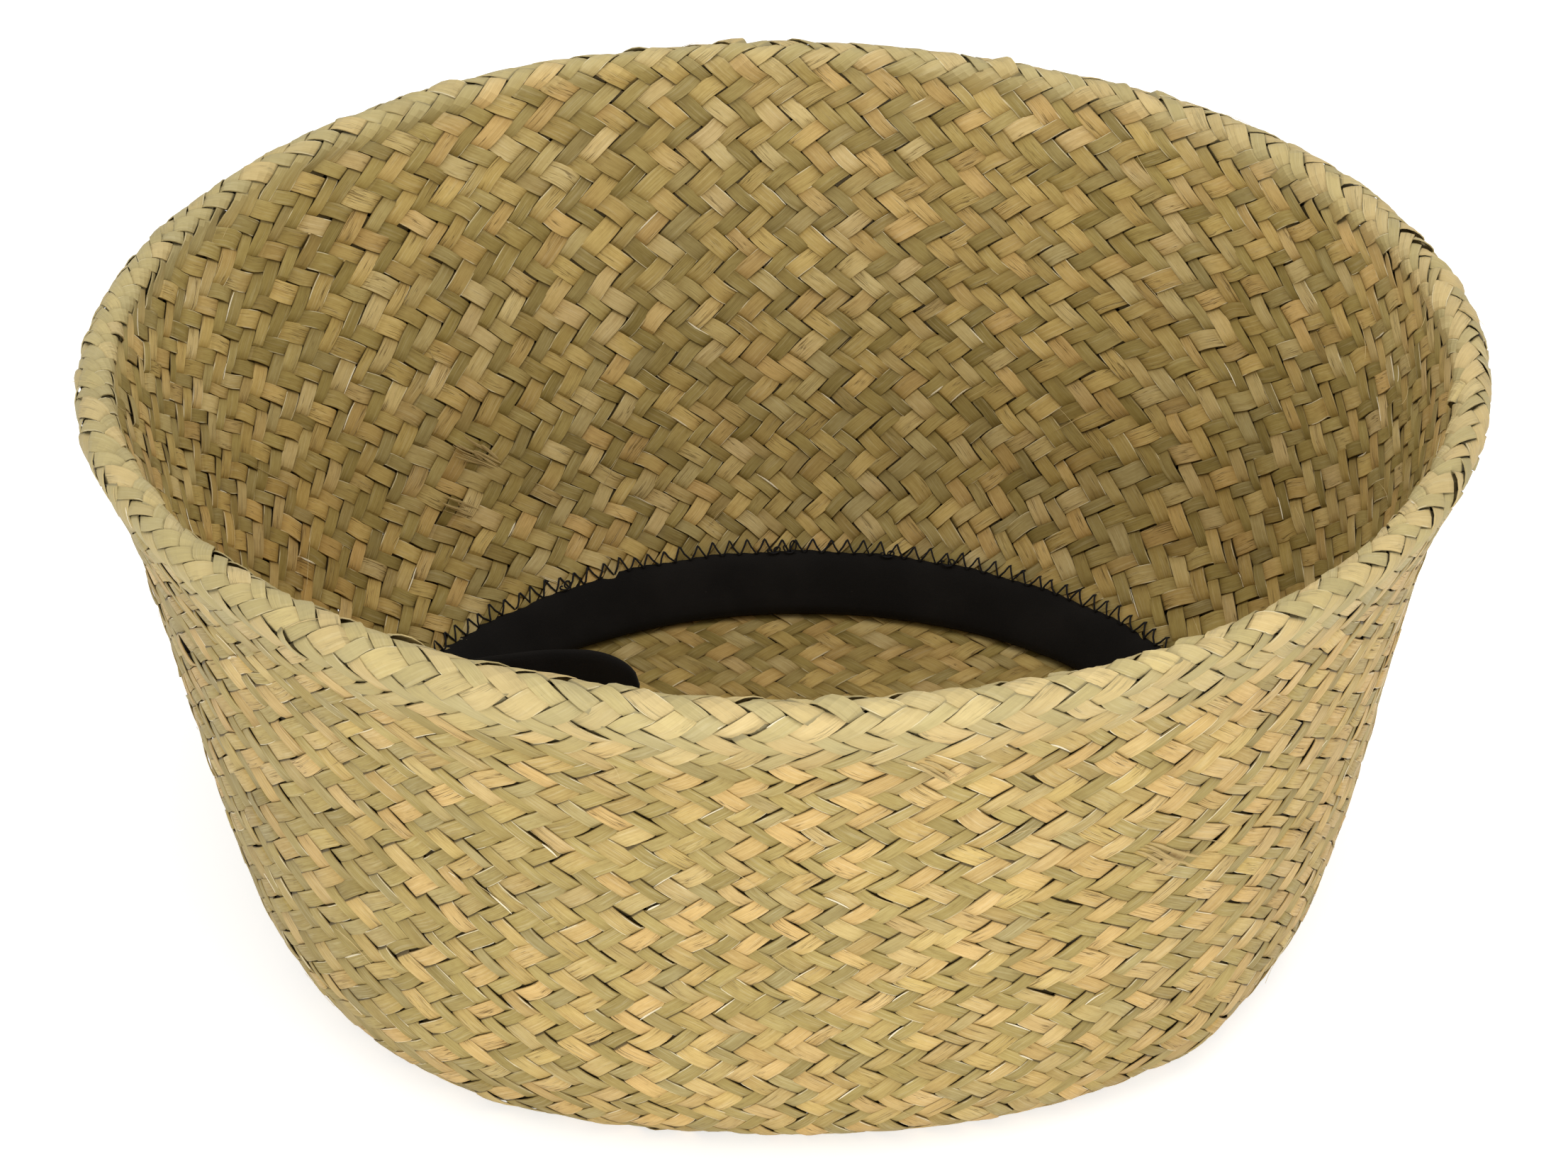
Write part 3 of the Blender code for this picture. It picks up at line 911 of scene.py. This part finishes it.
# One seam of black thread holds the binding: a zigzag whose upper corners go down into the weave
# and whose lower corners sink in the pile. The hand that sewed it left the corners uneven.
thread_radius = 0.00033
stitch_reach = 0.0040
stitch_reach_noise = 0.00035
stitch_bite = 0.0007
corner_noise = 0.0022
lean_noise = 0.12
weave_off = weave_thickness * 0.5 + 0.0004
pile_off = binding_half_thickness - 0.0002
half_stitch = math.pi / stitch_count
seam_pick = np.random.default_rng(5)
seam_path = []
for corner in range(stitch_count):
    bearing = math.tau * (corner + 0.25) / stitch_count + seam_pick.normal(0, corner_noise)
    top = stitch_reach + seam_pick.normal(0, stitch_reach_noise)
    lean = seam_pick.normal(0, lean_noise) * half_stitch
    seam_path += [
        on_rim(bearing - half_stitch * 0.98, stitch_bite, pile_off - 0.0010),
        on_rim(bearing - half_stitch * 0.88, stitch_bite * 0.2, pile_off - 0.0006),
        on_rim(bearing - half_stitch * 0.45 + lean, -top * 0.42, weave_off + 0.0007),
        on_rim(bearing - half_stitch * 0.08 + lean, -top * 0.96, weave_off + 0.0003),
        on_rim(bearing + lean, -top * 1.02, weave_off - 0.0008),
        on_rim(bearing + half_stitch * 0.10 + lean, -top * 0.95, weave_off + 0.0003),
        on_rim(bearing + half_stitch * 0.50 + lean, -top * 0.40, weave_off + 0.0007),
        on_rim(bearing + half_stitch * 0.88, stitch_bite * 0.2, pile_off - 0.0006),
    ]


def thread(name, path, radius, closed):
    curve = bpy.data.curves.new(name, "CURVE")
    curve.dimensions = "3D"
    curve.bevel_depth = radius
    curve.bevel_resolution = 1
    curve.use_fill_caps = not closed
    spline = curve.splines.new("POLY")
    spline.points.add(len(path) - 1)
    for point, place in zip(spline.points, path):
        point.co = (*place, 1)
    spline.use_cyclic_u = closed
    return placed(name, curve)


def thread_material(name):
    """Black thread, a shade greyer where its twist catches the light."""
    material, start, shader = new_material(name)
    twist = noise(own_place(start), 3000, 1)
    mixed(twist, (0.004, 0.004, 0.005, 1), (0.014, 0.013, 0.014, 1)).feeds(shader, "Base Color")
    bumped(twist, 0.5, 0.0001).feeds(shader, "Normal")
    shader.inputs["Roughness"].default_value = 0.80
    shader.inputs["Specular IOR Level"].default_value = 0.2
    return material


black_thread = thread_material("black_sewing_thread")
seam = thread("zigzag_seam", seam_path, thread_radius, True)
seam.data.materials.append(black_thread)
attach(seam, "basket")
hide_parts("zigzag_stitching")

# Where the sewer began, ended or joined the thread there is a knot: a loop and two short tails of
# the same thread, lying on the weave just above the tape.
knot_steps = 34
knot_turns = 1.5
knot_wobble = 0.05
knot_loop = 0.0016
knot_length = 0.0034
# Bearing in degrees and height
knot_places = (
    (91.4, 0.0044),
    (93.6, 0.0022),
    (78.0, 0.0024),
    (69.5, 0.0026),
    (123.7, 0.0028),
    (232.0, 0.0030),
    (318.0, 0.0026),
)
for number, (degrees, height) in enumerate(knot_places, 1):
    knot_pick = np.random.default_rng(number)
    path = []
    for t in np.linspace(0, 1, knot_steps):
        turn = math.tau * knot_turns * t + knot_pick.normal(0, knot_wobble)
        sideways = (knot_loop * math.sin(turn) + knot_length * (t - 0.5)) / rim_middle.x
        reach = height * (0.5 - 0.5 * math.cos(turn)) * (0.55 + 0.45 * math.sin(math.pi * t))
        knot_off = weave_thickness * 0.5 + 0.0009 + 0.0012 * t
        path.append(on_rim(math.radians(degrees) + sideways, 0.0006 - reach, knot_off))
    knot = thread("thread_knot_" + str(number), path, thread_radius * 0.9, False)
    knot.data.materials.append(black_thread)
    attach(knot, "basket")

# The pile stands out past the tape's edges as a short soft fringe, most of it below and the rest
# along the seam. Each tuft is one thin sliver of pile.
fringe_count = 5200
fringe_lower_share = 0.75
fringe_half = 0.00028
fringe_lengths = (0.0005, 0.0013)
fringe_upper_length = 0.7
fringe_lean_noise = 0.0035
fringe_scatter = 0.0004
fringe_tip_scatter = 0.0006
fringe_pick = np.random.default_rng(9)
bearings = fringe_pick.uniform(0, math.tau, fringe_count)
lower = fringe_pick.random(fringe_count) < fringe_lower_share
roots = np.where(lower, binding_turn + binding_half_thickness * 0.55, 0.0004)
offs = np.where(lower, binding_half_thickness * 0.75, binding_half_thickness - 0.0012)
offs = offs - fringe_scatter * fringe_pick.random(fringe_count)
lengths = fringe_pick.uniform(*fringe_lengths, fringe_count) * np.where(lower, 1, -fringe_upper_length)
leans = fringe_pick.normal(0, fringe_lean_noise, fringe_count)
tips = offs + fringe_pick.uniform(0, fringe_tip_scatter, fringe_count)
fringe_points = np.stack([
    on_rim(bearings - fringe_half, roots, offs),
    on_rim(bearings + fringe_half, roots, offs),
    on_rim(bearings + leans, roots + lengths, tips),
], 1)
fringe_faces = np.arange(fringe_count * 3).reshape(-1, 3)
fringe = plain_piece("pile_fringe", fringe_points.reshape(-1, 3).tolist(), fringe_faces.tolist(), velour)
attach(fringe, "basket")

# The loose end of the tape leaves the binding at the left, stands on edge on the floor mat and
# curls in to a round tip. It bends where it is sewn on.
tail_width = 0.0280
tail_half_thickness = 0.0020
tail_low = weave_thickness + 0.0004
tail_middle = tail_low + tail_width * 0.5
tail_columns = 90
tail_sides = 16
tail_span = Vector((0.0697, 0.0228))
tail_joint = next(joint for joint in frame["joints"] if joint["name"] == "tail_swing")
tail_root = Vector((tail_joint["pos_m"][0], tail_joint["pos_m"][1]))
tail_tip = tail_root + tail_span
leaving = tail_root + Vector((tail_span.x * 0.15, tail_span.y * 0.90))
arriving = tail_root + Vector((tail_span.x * 0.45, tail_span.y * 1.00))


def along_tail(t):
    u = 1 - t
    return tail_root * u**3 + leaving * (3 * u * u * t) + arriving * (3 * u * t * t) + tail_tip * t**3


def squarer(value, power):
    """A sine or cosine raised to a power below 1, with its sign kept."""
    return abs(value) ** power * math.copysign(1, value)


tail_length = sum(
    (along_tail((n + 1) / tail_columns) - along_tail(n / tail_columns)).length for n in range(tail_columns)
)
tip_share = 1 - tail_width * 0.5 / tail_length
tail_points = []
for column in range(tail_columns + 1):
    share = column / tail_columns
    place = along_tail(share)
    ahead = (along_tail(min(share + 0.002, 1)) - along_tail(max(share - 0.002, 0))).normalized()
    aside = Vector((-ahead.y, ahead.x))
    into_tip = max(0, (share - tip_share) / (1 - tip_share))
    half_wide = tail_width * 0.5 * math.sqrt(max(0.0, 1 - into_tip * into_tip)) + 0.0002
    fat = tail_half_thickness * min(1, 0.35 + share * 14) * (1 - 0.25 * into_tip)
    for side in range(tail_sides):
        angle = math.tau * side / tail_sides
        up = squarer(math.sin(angle), 0.70) * half_wide
        out = squarer(math.cos(angle), 0.45) * fat + 0.0003 * math.sin(share * 17 + up * 160)
        tail_points.append((place.x + aside.x * out, place.y + aside.y * out, tail_middle + up))
numbers = np.arange(len(tail_points)).reshape(-1, tail_sides)
beside = np.roll(numbers, -1, 1)
tail_faces = np.stack([numbers[:-1], beside[:-1], beside[1:], numbers[1:]], -1).reshape(-1, 4).tolist()
tail_faces += [numbers[0][::-1].tolist(), numbers[-1].tolist()]
tail = plain_piece("loose_end", tail_points, tail_faces, velour)
tail.data.shade_smooth()
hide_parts("binding_tail")
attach(tail, "loose_end")

# The basket stands on a white table top. The camera and the reflections see it glow, and none of
# that glow falls on the basket.
table_half = 6
table_height = -0.0002
table_glow = 0.56


def seen_plainly(start):
    """1 for what the camera or a reflection sees, 0 for the light that falls on the basket."""
    kinds = ("Is Camera Ray", "Is Glossy Ray", "Is Transmission Ray")
    camera_ray, glossy_ray, clear_ray = (start.node("ShaderNodeLightPath", {}, {}, kind) for kind in kinds)
    return start.maths("MAXIMUM", camera_ray, start.maths("MAXIMUM", glossy_ray, clear_ray))


white, start, shader = new_material("white_table")
glow = seen_plainly(start) * table_glow
start.node("ShaderNodeCombineXYZ", {}, {0: glow, 1: glow, 2: glow}).feeds(shader, "Emission Color")
shader.inputs["Emission Strength"].default_value = 1
shader.inputs["Base Color"].default_value = (0.80, 0.80, 0.80, 1)
shader.inputs["Roughness"].default_value = 0.9
shader.inputs["Specular IOR Level"].default_value = 0.1
corners = [(x * table_half, y * table_half, table_height) for x, y in ((-1, -1), (1, -1), (1, 1), (-1, 1))]
table_top = plain_piece("table_top", corners, [(0, 1, 2, 3)], white)

# Plain daylight comes from all round, and two soft lamps, one in front and one above, give the
# floats their shape. The background itself shows pure white.
daylight = 0.645
world = bpy.data.worlds.new("studio")
bpy.context.scene.world = world
world.use_nodes = True
background = world.node_tree.nodes["Background"]
background.inputs["Color"].default_value = (1, 1, 1, 1)
strength = daylight + seen_plainly(Wire(world.node_tree)) * (1 - daylight)
strength.feeds(background, "Strength")


def soft_lamp(name, place, aim, size, power):
    lamp = bpy.data.lights.new(name, "AREA")
    lamp.shape = "RECTANGLE"
    lamp.size, lamp.size_y = size
    lamp.energy = power
    holder = placed(name, lamp)
    holder.location = place
    holder.rotation_euler = (Vector(aim) - Vector(place)).to_track_quat("-Z", "Y").to_euler()


soft_lamp("softbox_front", (-0.08, -2.1, 0.55), (0, 0, 0.08), (1.6, 0.8), 25)
soft_lamp("softbox_above", (0.22, -0.3, 1.9), (0, 0, 0.1), (1.3, 1.3), 13)

# The camera stands in front, about 1.6 m away, and looks down at the middle of the basket. Its
# focal length is measured in pixels of the photograph.
photo_width = 2212
focal_pixels = 7044
sensor_width = 36
degrees_down = 31.17
view = bpy.data.cameras.new("camera")
view.lens = sensor_width * focal_pixels / photo_width
view.sensor_width = sensor_width
view.clip_start = 0.05
camera = placed("camera", view)
camera.location = (0, -1.3125, 0.8876)
camera.rotation_euler = (math.radians(90 - degrees_down), 0, 0)
bpy.context.scene.camera = camera
bpy.context.scene.view_settings.view_transform = "Standard"
